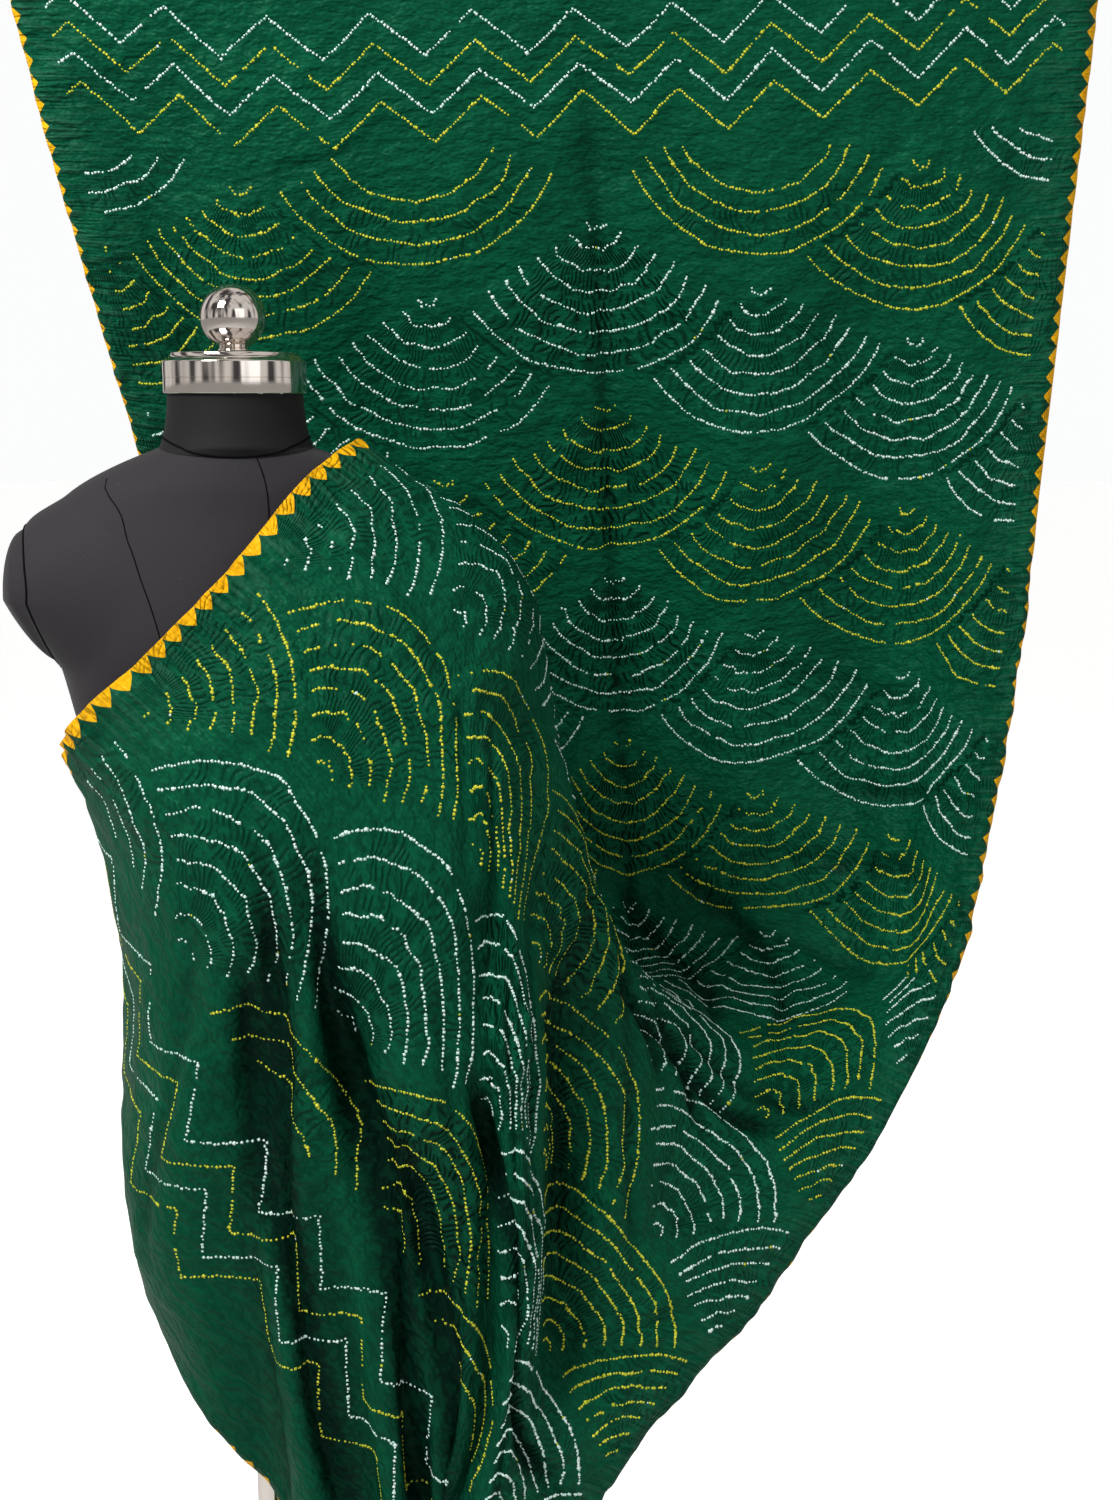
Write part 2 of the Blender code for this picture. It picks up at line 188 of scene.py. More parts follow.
# Each half: first apex along, step for each column outwards, step for each row,
# the way its fans open, and the rows
HALVES = (
    {"first": 0.314, "outwards": 0.060, "row": ROW_PITCH, "opens": 1, "rows": range(-2, 5)},
    {"first": 1.864, "outwards": 0.0755, "row": -ROW_PITCH, "opens": -1, "rows": range(0, 6)},
)
# Fans cut short at an end, as half, row and column: their first whole arc
PARTIAL = {(0, -1, 1): 4, (0, -2, 3): 5, (1, 0, 1): 4, (1, 1, 3): 0}
# Places that an end's fans leave empty, as half, row and column
EMPTY = {(0, -2, 0), (0, -2, 1), (0, -2, 2), (0, -1, 0), (1, 0, 2), (1, 0, 3)}
# Where one half gives way to the other, for each column outwards
TURN = (1.176, 1.240, 1.140, 1.120)
ZIGZAG_PERIOD = 0.088
ZIGZAG_RISE = 0.020
# How far the top end's zigzags bend towards it at the right and left selvedges
ZIGZAG_BEND = 0.042
LEFT_BEND = 0.034
LEFT_BEND_FROM = 0.25
# Mean distance along, where a peak lies across, and whether it is white
ZIGZAGS = (
    (0.137, 0.493, True), (0.163, 0.493, False), (0.189, 0.493, True), (0.216, 0.493, False),
    (1.892, 0.523, True), (1.919, 0.523, False), (1.945, 0.523, True), (1.971, 0.523, False),
)
BORDER_PITCH = 0.0200
BORDER_DEPTH = 0.0146

# The silk's tones with the painted shade of its valleys and the painted highlight of its crinkles, its
# bump heights, and the two tones of each kind of dot
SILK_DEEP = (0.0014, 0.060, 0.028, 1.0)
SILK_CLEAR = (0.0030, 0.098, 0.045, 1.0)
SILK_SLUB = (0.0036, 0.120, 0.057, 1.0)
# the painted shade's tone, then the painted highlight's tone on the crinkles
SILK_PAINTED_SHADE = (0.0006, 0.010, 0.006, 1.0)
SILK_CRINKLE_HIGHLIGHT = (0.034, 0.130, 0.080, 1.0)
SILK_GLINT = (0.35, 1.0, 0.68, 1.0)
BORDER_TONES = (0.86, 0.38, 0.004, 1.0), (0.96, 0.55, 0.010, 1.0)
CRUSH_HEIGHT, CRINKLE_HEIGHT, PUCKER_HEIGHT, SLUB_HEIGHT = 0.0056, 0.0062, 0.0026, 0.0002
WHITE_TONES = (0.50, 0.80, 0.74, 1.0), (0.88, 1.0, 0.97, 1.0)
YELLOW_TONES = (0.40, 0.48, 0.020, 1.0), (0.84, 0.82, 0.070, 1.0)
CHROME_TONE = (0.86, 0.80, 0.75, 1.0)
# The neck's knit against the torso's: a darker copy of the same jersey, painted shade
NECK_SHADE = 0.36

# The sheet's unevenness, a row for each size of bump: its height, bumps for each metre
# across and along with how each leans on the other, and its seed
RELIEF = (
    (0.0020, 20, 0, 13, 0, 1),
    (0.0016, 36, 12, 30, 0, 2),
    (0.0011, 66, 0, 72, 20, 3),
)
# How far in the edges roll back, and by what angle: the low selvedge, the left one and
# the free end
RIGHT_ROLL, LEFT_ROLL, END_ROLL = 0.022, 0.018, 0.018
RIGHT_TURN, RIGHT_TURN_LOW, RIGHT_TURN_LOST = 1.1, 1.2, 0.7
LEFT_TURN, END_TURN = 1.4, 1.7
# The strip beside the rolled low selvedge that is drawn outwards, and how far
SPREAD_WIDTH, SPREAD = 0.10, 0.009

# The form and its stand. The ball is a little larger than the solid's
FORM_TURN = math.radians(8.0)
NECK_TOP = 1.470
TORSO_TOP = 1.426
TORSO_FOOT = 0.775
ARM_STUB_RADIUS = 0.056
ARM_STUB_REACH = 0.197
ARM_STUB_HEIGHT = 1.302
# The stub's root and end face as radii, and how far its end is rounded
STUB_ROOT = 0.085
STUB_FACE = 0.052
STUB_ROUNDING = 0.018
# The stub swells only out of the torso's sides, where the angle's cosine is above this
STUB_SIDE = 0.40
# How far the stub's end leans inwards below its middle, and the armhole seam's radius
STUB_SLANT = 0.48
ARMHOLE_RADIUS = 0.060
# The neck seam dips in front and rises at the sides
NECK_DIP = 0.007
NECK_RISE = 0.008
BALL_RADIUS = 0.0272
BALL_HEIGHT = 1.5328
POLE_RADIUS = 0.0125
BASE_RADIUS = 0.18
BASE_RIM = 0.012
BASE_CROWN = 0.030
TORSO_RINGS = (
    (TORSO_TOP, 0.064, 0.057, 0.057),
    (1.414, 0.094, 0.062, 0.064),
    (1.398, 0.126, 0.068, 0.070),
    (1.372, 0.157, 0.074, 0.078),
    (1.340, 0.170, 0.084, 0.088),
    (1.290, 0.168, 0.098, 0.094),
    (1.245, 0.154, 0.108, 0.096),
    (1.180, 0.138, 0.114, 0.092),
    (1.100, 0.112, 0.098, 0.084),
    (0.985, 0.088, 0.078, 0.076),
    (0.900, 0.102, 0.086, 0.090),
    (0.820, 0.112, 0.092, 0.100),
    (TORSO_FOOT, 0.109, 0.090, 0.098),
)

# The camera
CAMERA_PLACE = (0.27, -1.57, 1.47)
CAMERA_PITCH = math.radians(11.0)
FOCAL_PIXELS = 1833.0
IMAGE_LONG_SIDE = 1500.0
SENSOR = 36.0


def curve_through(knots, values, at):
    """Smooth cubic through the values at the knots, read at the places asked for."""
    knots = np.asarray(knots, float)
    values = np.asarray(values, float)
    spans = np.diff(knots)
    extra = (1,) * (values.ndim - 1)
    wide = spans.reshape(-1, *extra)
    slopes = np.diff(values, axis=0) / wide
    tangents = np.empty_like(values)
    tangents[0], tangents[-1] = slopes[0], slopes[-1]
    before, after = wide[:-1], wide[1:]
    tangents[1:-1] = (slopes[:-1] * after + slopes[1:] * before) / (before + after)
    cell = np.clip(np.searchsorted(knots, at, side="right") - 1, 0, len(spans) - 1)
    t = ((at - knots[cell]) / spans[cell]).reshape(-1, *extra)
    span = wide[cell]
    start, end = values[cell], values[cell + 1]
    rise, fall = tangents[cell] * span, tangents[cell + 1] * span
    return (
        start * (2 * t**3 - 3 * t**2 + 1)
        + rise * (t**3 - 2 * t**2 + t)
        + end * (3 * t**2 - 2 * t**3)
        + fall * (t**3 - t**2)
    )


def smooth_step(value):
    value = np.clip(value, 0.0, 1.0)
    return value * value * (3.0 - 2.0 * value)


def draped(across, along):
    """The sheet's middle surface before its folds, a row of points for each place along."""
    stations = [row[0] for row in SECTIONS]
    columns = np.array([row[1:] for row in SECTIONS])
    rows = curve_through(stations, columns, along)
    return curve_through(ACROSS, rows.transpose(1, 0, 2), across).transpose(1, 0, 2)


def normals_of(points):
    """Unit normals of a grid of points, towards the side that the pattern faces."""
    run_along = np.gradient(points, axis=0)
    run_across = np.gradient(points, axis=1)
    crossed = np.cross(run_along, run_across)
    return crossed / np.linalg.norm(crossed, axis=2, keepdims=True)


def fold_depth(table, u, v):
    """How far the table's folds push the sheet back at the places on the cloth."""
    depth = np.zeros_like(u)
    for u0, v0, u1, v1, half_width, deep in table:
        length = math.hypot(u1 - u0, v1 - v0)
        du, dv = (u1 - u0) / length, (v1 - v0) / length
        run = (u - u0) * du + (v - v0) * dv
        aside = (u - u0) * dv - (v - v0) * du
        profile = np.exp(-((aside / half_width) ** 2) * 1.4)
        ramp = smooth_step(run / (FOLD_RAMP * length))
        fade = 1.0 - smooth_step((run - length) / (FOLD_RAMP * length))
        depth += deep * profile * ramp * fade
    return depth


def noise(x, y, seed):
    """Smooth noise between -1 and 1 with one bump for each unit of x and y."""
    table = np.random.default_rng(seed).uniform(-1.0, 1.0, (257, 257))
    xi, yi = np.floor(x).astype(int), np.floor(y).astype(int)
    fx, fy = smooth_step(x - xi), smooth_step(y - yi)
    xi, yi = xi % 256, yi % 256
    low = table[xi, yi] * (1 - fx) + table[xi + 1, yi] * fx
    high = table[xi, yi + 1] * (1 - fx) + table[xi + 1, yi + 1] * fx
    return low * (1 - fy) + high * fy


def make_fans():
    """Every fan of the pattern, those that lie on top of others first."""
    fans = []
    for half, rule in enumerate(HALVES):
        for row in rule["rows"]:
            for column in FAN_COLUMNS:
                outwards = abs(column)
                if (half, row, outwards) in EMPTY:
                    continue
                along = rule["first"] + rule["outwards"] * outwards + rule["row"] * row
                inner = (TURN[outwards] - along) * rule["opens"]
                if inner < ARC_FIRST:
                    continue
                fans.append({
                    "u": COLUMN_CENTRE + COLUMN_PITCH * column,
                    "v": along,
                    "half": half,
                    "opens": rule["opens"],
                    "white": row % 2 == half,
                    "first_arc": PARTIAL.get((half, row, outwards), 0),
                    "rank": along * rule["opens"] + 0.001 * outwards,
                    "turn": TURN[outwards],
                })
    return sorted(fans, key=lambda fan: (fan["half"], fan["rank"]))


def under_another(u, v, fans):
    """Whether places lie under any of the fans, with a small gap round them."""
    hidden = np.zeros(len(u), bool)
    for fan in fans:
        du, dv = u - fan["u"], (v - fan["v"]) * fan["opens"]
        distance = np.hypot(du, dv)
        angle = np.abs(np.arctan2(du, dv))
        hidden |= (distance < FAN_REACH + 0.010) & (angle < FAN_SPREAD + 0.05)
    return hidden


def dot_rows():
    """Rows of dots as arrays of places, with whether each row is white."""
    rng = np.random.default_rng(7)
    rows = []
    fans = make_fans()
    for number, fan in enumerate(fans):
        above = [other for other in fans[:number] if other["half"] == fan["half"]]
        for arc in range(fan["first_arc"], ARCS):
            radius = ARC_FIRST + arc * ARC_PITCH
            spread = FAN_SPREAD * rng.uniform(0.93, 1.04)
            steps = int(2 * spread * radius / DOT_PITCH)
            angle = np.linspace(-spread, spread, steps + 1)
            wobble = noise(angle * 6 + 40 * number, np.full_like(angle, 3.0 * arc), 11) * 0.0022
            flatter = 1.0 - 0.07 * (angle / FAN_SPREAD) ** 2
            r = radius * flatter + wobble
            u = fan["u"] + r * np.sin(angle)
            v = fan["v"] + fan["opens"] * r * np.cos(angle)
            keep = ~under_another(u, v, above)
            keep &= (v - fan["turn"]) * fan["opens"] < 0
            keep &= (v > FANS_FROM) & (v < FANS_TO)
            rows.append((u[keep], v[keep], fan["white"]))
    for mean, peak, white in ZIGZAGS:
        slope_length = math.hypot(1.0, 4 * ZIGZAG_RISE / ZIGZAG_PERIOD)
        u = np.arange(PLAIN_EDGE, CLOTH_WIDTH - PLAIN_EDGE, DOT_PITCH / slope_length)
        turn = np.abs(((u - peak) / ZIGZAG_PERIOD) % 1.0 - 0.5)
        v = mean + ZIGZAG_RISE * (1.0 - 4.0 * turn) + noise(u * 30, u * 0 + mean * 90, 12) * 0.0022
        if mean < CLOTH_LENGTH / 2:
            v -= ZIGZAG_BEND * np.clip((u - COLUMN_CENTRE) / COLUMN_CENTRE, 0.0, 1.0) ** 1.3
            v -= LEFT_BEND * np.clip(1.0 - u / LEFT_BEND_FROM, 0.0, 1.0)
        rows.append((u, v, white))
    return rows


def worn(u, v):
    """How many of the dots are missing: more where the cloth crosses the shoulder."""
    return 0.020 + 0.10 * np.exp(-(((u - 0.20) / 0.14) ** 2) - ((v - 1.55) / 0.10) ** 2)


def scatter_dots():
    """Places, sizes and turns of all dots, in two groups: white and yellow."""
    rng = np.random.default_rng(19)
    groups = {True: [], False: []}
    for u, v, white in dot_rows():
        count = len(u)
        if not count:
            continue
        keep = (u > PLAIN_EDGE) & (u < CLOTH_WIDTH - PLAIN_EDGE)
        skip = rng.random(count) < worn(u, v)
        for start in np.nonzero(skip)[0]:
            keep[start:start + rng.integers(1, 5)] = False
        jitter = rng.normal(0.0, 0.00042, (count, 2))
        size = rng.uniform(0.66, 1.24, count)
        size[rng.random(count) < 0.08] *= 1.4
        spin = rng.uniform(0.0, math.pi / 2, count)
        stray = rng.random(count) < 0.004
        for colour in (True, False):
            chosen = keep & (stray != (white == colour))
            groups[colour].append(np.stack(
                [u[chosen] + jitter[chosen, 0], v[chosen] + jitter[chosen, 1],
                 size[chosen], spin[chosen]], axis=1))
    return {colour: np.concatenate(parts) for colour, parts in groups.items()}


def pucker_field(u, v):
    """For each place the angle about its fan's tip, and how far it is puckered."""
    phase = np.zeros_like(u)
    amount = np.zeros_like(u)
    taken = np.zeros(u.shape, bool)
    for fan in make_fans():
        du, dv = u - fan["u"], (v - fan["v"]) * fan["opens"]
        distance = np.hypot(du, dv)
        angle = np.arctan2(du, dv)
        inside = (distance < FAN_REACH + 0.004) & (np.abs(angle) < FAN_SPREAD)
        inside &= (v - fan["turn"]) * fan["opens"] < 0
        inside &= ~taken
        edge = smooth_step((FAN_REACH + 0.004 - distance) / 0.012)
        edge *= smooth_step((FAN_SPREAD - np.abs(angle)) / 0.35)
        edge *= smooth_step((distance - 0.012 - ARC_PITCH * fan["first_arc"]) / 0.02)
        edge *= smooth_step((FANS_TO - v) / 0.02)
        middle = 1.0 if abs(fan["u"] - COLUMN_CENTRE) < 0.01 else 0.62
        phase[inside] = angle[inside]
        amount[inside] = (edge * middle)[inside]
        taken |= inside
    return phase, amount


def fine_relief(u, v):
    """The silk's own unevenness, as a height towards the side that the pattern faces."""
    height = np.zeros_like(u)
    for high, across, lean_across, along, lean_along, seed in RELIEF:
        height += high * noise(u * across + v * lean_across, v * along + u * lean_along, seed)
    # short crinkles that run in from both selvedges
    edge = np.minimum(u, CLOTH_WIDTH - u)
    near_edge = np.exp(-((edge / 0.050) ** 2))
    side = np.where(u < CLOTH_WIDTH / 2, 0.0, 50.0)
    height += near_edge * 0.0030 * noise(edge * 14 + side, v * 75 + edge * 40, 4)
    # pleats that fan out from each fan's tip
    phase, amount = pucker_field(u, v)
    height += amount * 0.0020 * noise(phase * 9.0 + 31.0 * (v // ROW_PITCH), (u + v) * 14, 5)
    height -= fold_depth(CREASES, u, v)
    return height


def curl(points, outward, normals, edge, width, turn):
    """Rolls a strip along an edge back from the patterned side, by an angle for each point."""
    turn = np.maximum(turn, 0.01)
    share = np.clip((width - edge) / width, 0.0, 1.0)
    radius = width / turn
    out = radius * np.sin(turn * share) - width * share
    back = radius * (1.0 - np.cos(turn * share))
    return points + outward * out[..., None] - normals * back[..., None]


def unit(vectors):
    return vectors / np.linalg.norm(vectors, axis=-1, keepdims=True)


def cloth_grid():
    """The fine sheet: places across and along, its points and its unit normals."""
    across = np.linspace(0.0, CLOTH_WIDTH, FINE_ACROSS + 1)
    along = np.linspace(0.0, CLOTH_LENGTH, FINE_ALONG + 1)
    u, v = np.meshgrid(across, along)
    smooth = draped(across, along)
    folded = smooth - normals_of(smooth) * fold_depth(FOLDS, u, v)[..., None]
    normals = normals_of(folded)
    points = folded + normals * fine_relief(u, v)[..., None]
    # the panel's selvedges roll back a little, and the low one and the free end far
    rightwards, lengthwise = unit(np.gradient(folded, axis=1)), unit(np.gradient(folded, axis=0))
    low = smooth_step((v - 0.55) / 0.25)
    turn = RIGHT_TURN + RIGHT_TURN_LOW * low - RIGHT_TURN_LOST * smooth_step((v - 1.25) / 0.20)
    spread = SPREAD * low * smooth_step((SPREAD_WIDTH - (CLOTH_WIDTH - u)) / SPREAD_WIDTH)
    points = points + rightwards * spread[..., None]
    points = curl(points, rightwards, normals, CLOTH_WIDTH - u, RIGHT_ROLL, turn)
    turn = LEFT_TURN * smooth_step((1.0 - v) / 0.2)
    points = curl(points, -rightwards, normals, u, LEFT_ROLL, turn)
    turn = np.full_like(v, END_TURN)
    points = curl(points, lengthwise, normals, CLOTH_LENGTH - v, END_ROLL, turn)
    return u, v, points, normals_of(points)


def grid_faces(rows, columns):
    """Corner numbers of a grid's cells, facing the side that the pattern faces."""
    r, c = np.meshgrid(np.arange(rows - 1), np.arange(columns - 1), indexing="ij")
    first = (r * columns + c).ravel()
    return np.stack([first, first + columns, first + columns + 1, first + 1], axis=1)


def mesh_from(name, points, faces):
    mesh = bpy.data.meshes.new(name)
    mesh.from_pydata(points.tolist(), [], faces.tolist())
    mesh.update()
    mesh.shade_smooth()
    return mesh


def add_piece(name, mesh, finish, slot, *replaced):
    piece = bpy.data.objects.new(name, mesh)
    bpy.context.scene.collection.objects.link(piece)
    if finish:
        mesh.materials.append(finish)
    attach(piece, "root")
    if replaced:
        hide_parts(*replaced)
    return piece


class Shader:
    """A node material: short calls add nodes and join them."""

    def __init__(self, name):
        self.material = bpy.data.materials.new(name)
        self.material.use_nodes = True
        self.tree = self.material.node_tree
        self.main = self.tree.nodes["Principled BSDF"]

    def node(self, kind, **settings):
        made = self.tree.nodes.new(kind)
        for key, value in settings.items():
            setattr(made, key, value)
        return made

    def join(self, source, target):
        self.tree.links.new(source, target)

    def put(self, socket, value):
        if isinstance(value, bpy.types.NodeSocket):
            self.join(value, socket)
        else:
            socket.default_value = value

    def math(self, operation, *values, clamp=False):
        made = self.node("ShaderNodeMath", operation=operation, use_clamp=clamp)
        for socket, value in zip(made.inputs, values):
            self.put(socket, value)
        return made.outputs[0]

    def mix(self, share, first, second, blend="MIX"):
        made = self.node("ShaderNodeMix", data_type="RGBA", blend_type=blend)
        self.put(made.inputs["Factor"], share)
        self.put(made.inputs["A"], first)
        self.put(made.inputs["B"], second)
        return made.outputs["Result"]

    def scaled(self, vector, scale):
        made = self.node("ShaderNodeMapping")
        self.join(vector, made.inputs["Vector"])
        made.inputs["Scale"].default_value = scale
        return made.outputs["Vector"]

    def noise(self, vector, scale, detail=2.0, roughness=0.5):
        made = self.node("ShaderNodeTexNoise")
        self.join(vector, made.inputs["Vector"])
        made.inputs["Scale"].default_value = scale
        made.inputs["Detail"].default_value = detail
        made.inputs["Roughness"].default_value = roughness
        return made.outputs["Fac"]

    def attribute(self, name):
        return self.node("ShaderNodeAttribute", attribute_name=name).outputs["Fac"]

    def bump(self, height, distance, strength=1.0):
        made = self.node("ShaderNodeBump")
        made.inputs["Strength"].default_value = strength
        made.inputs["Distance"].default_value = distance
        self.join(height, made.inputs["Height"])
        return made.outputs["Normal"]

    def set(self, **values):
        """Sets the shader's own sockets to plain values, or joins nodes to them."""
        for key, value in values.items():
            self.put(self.main.inputs[key.replace("_", " ")], value)


def silk_material():
    """Bottle green silk with slubs, crinkles, puckers and a border of triangles."""
    silk = Shader("bandhani_silk")
    place = silk.node("ShaderNodeUVMap", uv_map="cloth").outputs["UV"]
    parts = silk.node("ShaderNodeSeparateXYZ")
    silk.join(place, parts.inputs[0])
    u, v = parts.outputs["X"], parts.outputs["Y"]

    # weft slubs across the cloth, a fine weave and the crushed finish
    slubs = silk.noise(silk.scaled(place, (14.0, 420.0, 1.0)), 1.0, 0.0)
    clouds = silk.noise(place, 9.0, 2.0, 0.6)
    crush = silk.noise(silk.scaled(place, (60.0, 95.0, 1.0)), 1.0, 2.0, 0.65)
    # thin lines along the crush, used below only as painted shade
    ridged = silk.math("ABSOLUTE", silk.math("SUBTRACT", crush, 0.5))
    crush_line_shade = silk.math("SUBTRACT", 1.0, silk.math("MULTIPLY", ridged, 11.0), clamp=True)

    # puckers fan out from each fan's tip, thin and broken
    phase = silk.attribute("pucker_phase")
    amount = silk.attribute("pucker_amount")
    stagger = silk.noise(silk.scaled(place, (30.0, 24.0, 1.0)), 1.0, 1.0, 0.6)
    turned = silk.math("ADD", silk.math("MULTIPLY", phase, 14.0), silk.math("MULTIPLY", stagger, 6.0))
    wave = silk.math("ABSOLUTE", silk.math("SUBTRACT", silk.math("FRACT", turned), 0.5))
    line = silk.math("SUBTRACT", 1.0, silk.math("MULTIPLY", wave, 3.0), clamp=True)
    broken = silk.math("MULTIPLY", silk.math("SUBTRACT", crush, 0.40), 5.0, clamp=True)
    pucker = silk.math("MULTIPLY", silk.math("MULTIPLY", line, broken), amount)

    # crinkles that run in from the selvedges
    edge_u = silk.math("MINIMUM", u, silk.math("SUBTRACT", CLOTH_WIDTH, u))
    edge_v = silk.math("MINIMUM", v, silk.math("SUBTRACT", CLOTH_LENGTH, v))
    near = silk.math("SUBTRACT", 1.0, silk.math("DIVIDE", edge_u, 0.080), clamp=True)
    crinkle = silk.noise(silk.scaled(place, (22.0, 210.0, 1.0)), 1.0, 1.0, 0.55)
    streak = silk.math("MULTIPLY", silk.math("SUBTRACT", crinkle, 0.46), 5.0, clamp=True)
    crinkle = silk.math("MULTIPLY", crinkle, near)

    # the border's lobes, their bases on the edge
    def lobes(distance, run):
        tooth = silk.math("ABSOLUTE", silk.math("SUBTRACT", silk.math("FRACT",
                          silk.math("DIVIDE", run, BORDER_PITCH)), 0.5))
        slope = silk.math("SUBTRACT", 0.5, tooth)
        reach = silk.math("MULTIPLY", silk.math("POWER", slope, 0.62), 1.537 * BORDER_DEPTH)
        inside = silk.math("SUBTRACT", reach, distance)
        return silk.math("MULTIPLY", inside, 1500.0, clamp=True)

    border = silk.math("MAXIMUM", lobes(edge_u, v), lobes(edge_v, u))

    tone = silk.mix(silk.math("MULTIPLY", silk.math("SUBTRACT", clouds, 0.3), 1.6, clamp=True),
                    SILK_DEEP, SILK_CLEAR)
    tone = silk.mix(silk.math("MULTIPLY", silk.math("SUBTRACT", slubs, 0.42), 0.8, clamp=True),
                    tone, SILK_SLUB)
    # painted shade: the silk darkens along the puckers, the crush lines, and the creases and folds
    dark = silk.math("ADD", silk.math("MULTIPLY", pucker, 0.95),
                     silk.math("MULTIPLY", crush_line_shade, 0.30), clamp=True)
    dark = silk.math("ADD", dark, silk.math("MULTIPLY", silk.attribute("crease_painted_shade"), 0.86), clamp=True)
    tone = silk.mix(dark, tone, SILK_PAINTED_SHADE)
    # painted highlight: paler on the crests of the crinkles near the selvedges
    pale = silk.math("MULTIPLY", silk.math("MULTIPLY", streak, near), 0.50)
    tone = silk.mix(pale, tone, SILK_CRINKLE_HIGHLIGHT)
    tone = silk.mix(border, tone, silk.mix(clouds, *BORDER_TONES))

    height = silk.math("MULTIPLY", crush, CRUSH_HEIGHT)
    height = silk.math("MULTIPLY_ADD", crinkle, CRINKLE_HEIGHT, height)
    height = silk.math("MULTIPLY_ADD", pucker, -PUCKER_HEIGHT, height)
    height = silk.math("MULTIPLY_ADD", slubs, SLUB_HEIGHT, height)
    relief = silk.bump(height, 1.0)
    gloss = silk.math("ADD", 0.40, silk.math("MULTIPLY", slubs, 0.12))
    silk.set(Base_Color=tone, Roughness=gloss, Normal=relief, Specular_IOR_Level=0.09,
             Specular_Tint=SILK_GLINT)
    return silk.material


def dot_material(name, low, high):
    """The undyed dots: two tones of one colour, a little rough."""
    dots = Shader(name)
    place = dots.node("ShaderNodeTexCoord").outputs["Object"]
    blotch = dots.noise(place, 260.0, 2.0, 0.6)
    tone = dots.mix(dots.math("MULTIPLY", dots.math("SUBTRACT", blotch, 0.32), 2.6, clamp=True),
                    low, high)
    dots.set(Base_Color=tone, Normal=dots.bump(blotch, 0.0006, 0.5), Roughness=0.62,
             Specular_IOR_Level=0.25)
    return dots.material


def jersey_material(name, depth):
    """Charcoal jersey with a fine knit and faint dust, darkened as painted shade where depth is below
    one.
    """
    def dye_and_shade(*colour):
        return tuple(depth * x for x in colour) + (1.0,)

    jersey = Shader(name)
    place = jersey.node("ShaderNodeTexCoord").outputs["Object"]
    knit = jersey.noise(jersey.scaled(place, (900.0, 900.0, 520.0)), 1.0, 2.0, 0.6)
    shade = jersey.noise(place, 7.0, 3.0, 0.55)
    lint = jersey.noise(place, 180.0, 2.0, 0.7)
    tone = jersey.mix(shade, dye_and_shade(0.014, 0.0125, 0.0155), dye_and_shade(0.024, 0.022, 0.026))
    tone = jersey.mix(jersey.math("MULTIPLY", knit, 0.30), tone, dye_and_shade(0.038, 0.035, 0.041))
    dust = jersey.math("MULTIPLY", jersey.math("SUBTRACT", lint, 0.68), 1.5, clamp=True)
    tone = jersey.mix(dust, tone, dye_and_shade(0.10, 0.095, 0.09))
    jersey.set(Base_Color=tone, Normal=jersey.bump(knit, 0.0004, 0.4), Roughness=0.74,
               Specular_IOR_Level=0.22, Sheen_Weight=0.08 * depth, Sheen_Roughness=0.5)
    return jersey.material


def seam_material():
    seam = Shader("seam_thread")
    place = seam.node("ShaderNodeTexCoord").outputs["Object"]
    twist = seam.noise(place, 900.0, 2.0, 0.6)
    seam.set(Base_Color=seam.mix(twist, (0.0015, 0.0015, 0.002, 1.0), (0.006, 0.0055, 0.006, 1.0)),
             Normal=seam.bump(twist, 0.0004, 0.5), Roughness=0.9, Specular_IOR_Level=0.05)
    return seam.material


def chrome_material(name, tone, low, high):
    """Polished metal with faint turning marks and smudges."""
    metal = Shader(name)
    place = metal.node("ShaderNodeTexCoord").outputs["Object"]
    rings = metal.noise(metal.scaled(place, (20.0, 20.0, 2600.0)), 1.0, 2.0, 0.5)
    smudge = metal.noise(place, 46.0, 4.0, 0.65)
    rough = metal.node("ShaderNodeMapRange")
    metal.join(smudge, rough.inputs["Value"])
    rough.inputs["From Min"].default_value = 0.35
    rough.inputs["From Max"].default_value = 0.72
    rough.inputs["To Min"].default_value = low
    rough.inputs["To Max"].default_value = high
    worn = metal.mix(smudge, tone, tuple(0.86 * x for x in tone[:3]) + (1.0,))
    metal.set(Base_Color=worn, Roughness=rough.outputs["Result"],
              Normal=metal.bump(rings, 0.0001, 0.12), Metallic=1.0)
    return metal.material


def base_material():
    """Satin black paint with a light orange peel and scattered wear."""
    paint = Shader("base_black_paint")
    place = paint.node("ShaderNodeTexCoord").outputs["Object"]
    peel = paint.noise(place, 420.0, 2.0, 0.5)
    wear = paint.noise(place, 60.0, 4.0, 0.7)
    scuff = paint.math("MULTIPLY", paint.math("SUBTRACT", wear, 0.62), 3.0, clamp=True)
    tone = paint.mix(scuff, (0.030, 0.030, 0.031, 1.0), (0.075, 0.073, 0.072, 1.0))
    gloss = paint.math("ADD", 0.30, paint.math("MULTIPLY", wear, 0.2))
    paint.set(Base_Color=tone, Roughness=gloss, Normal=paint.bump(peel, 0.0003, 0.25))
    return paint.material


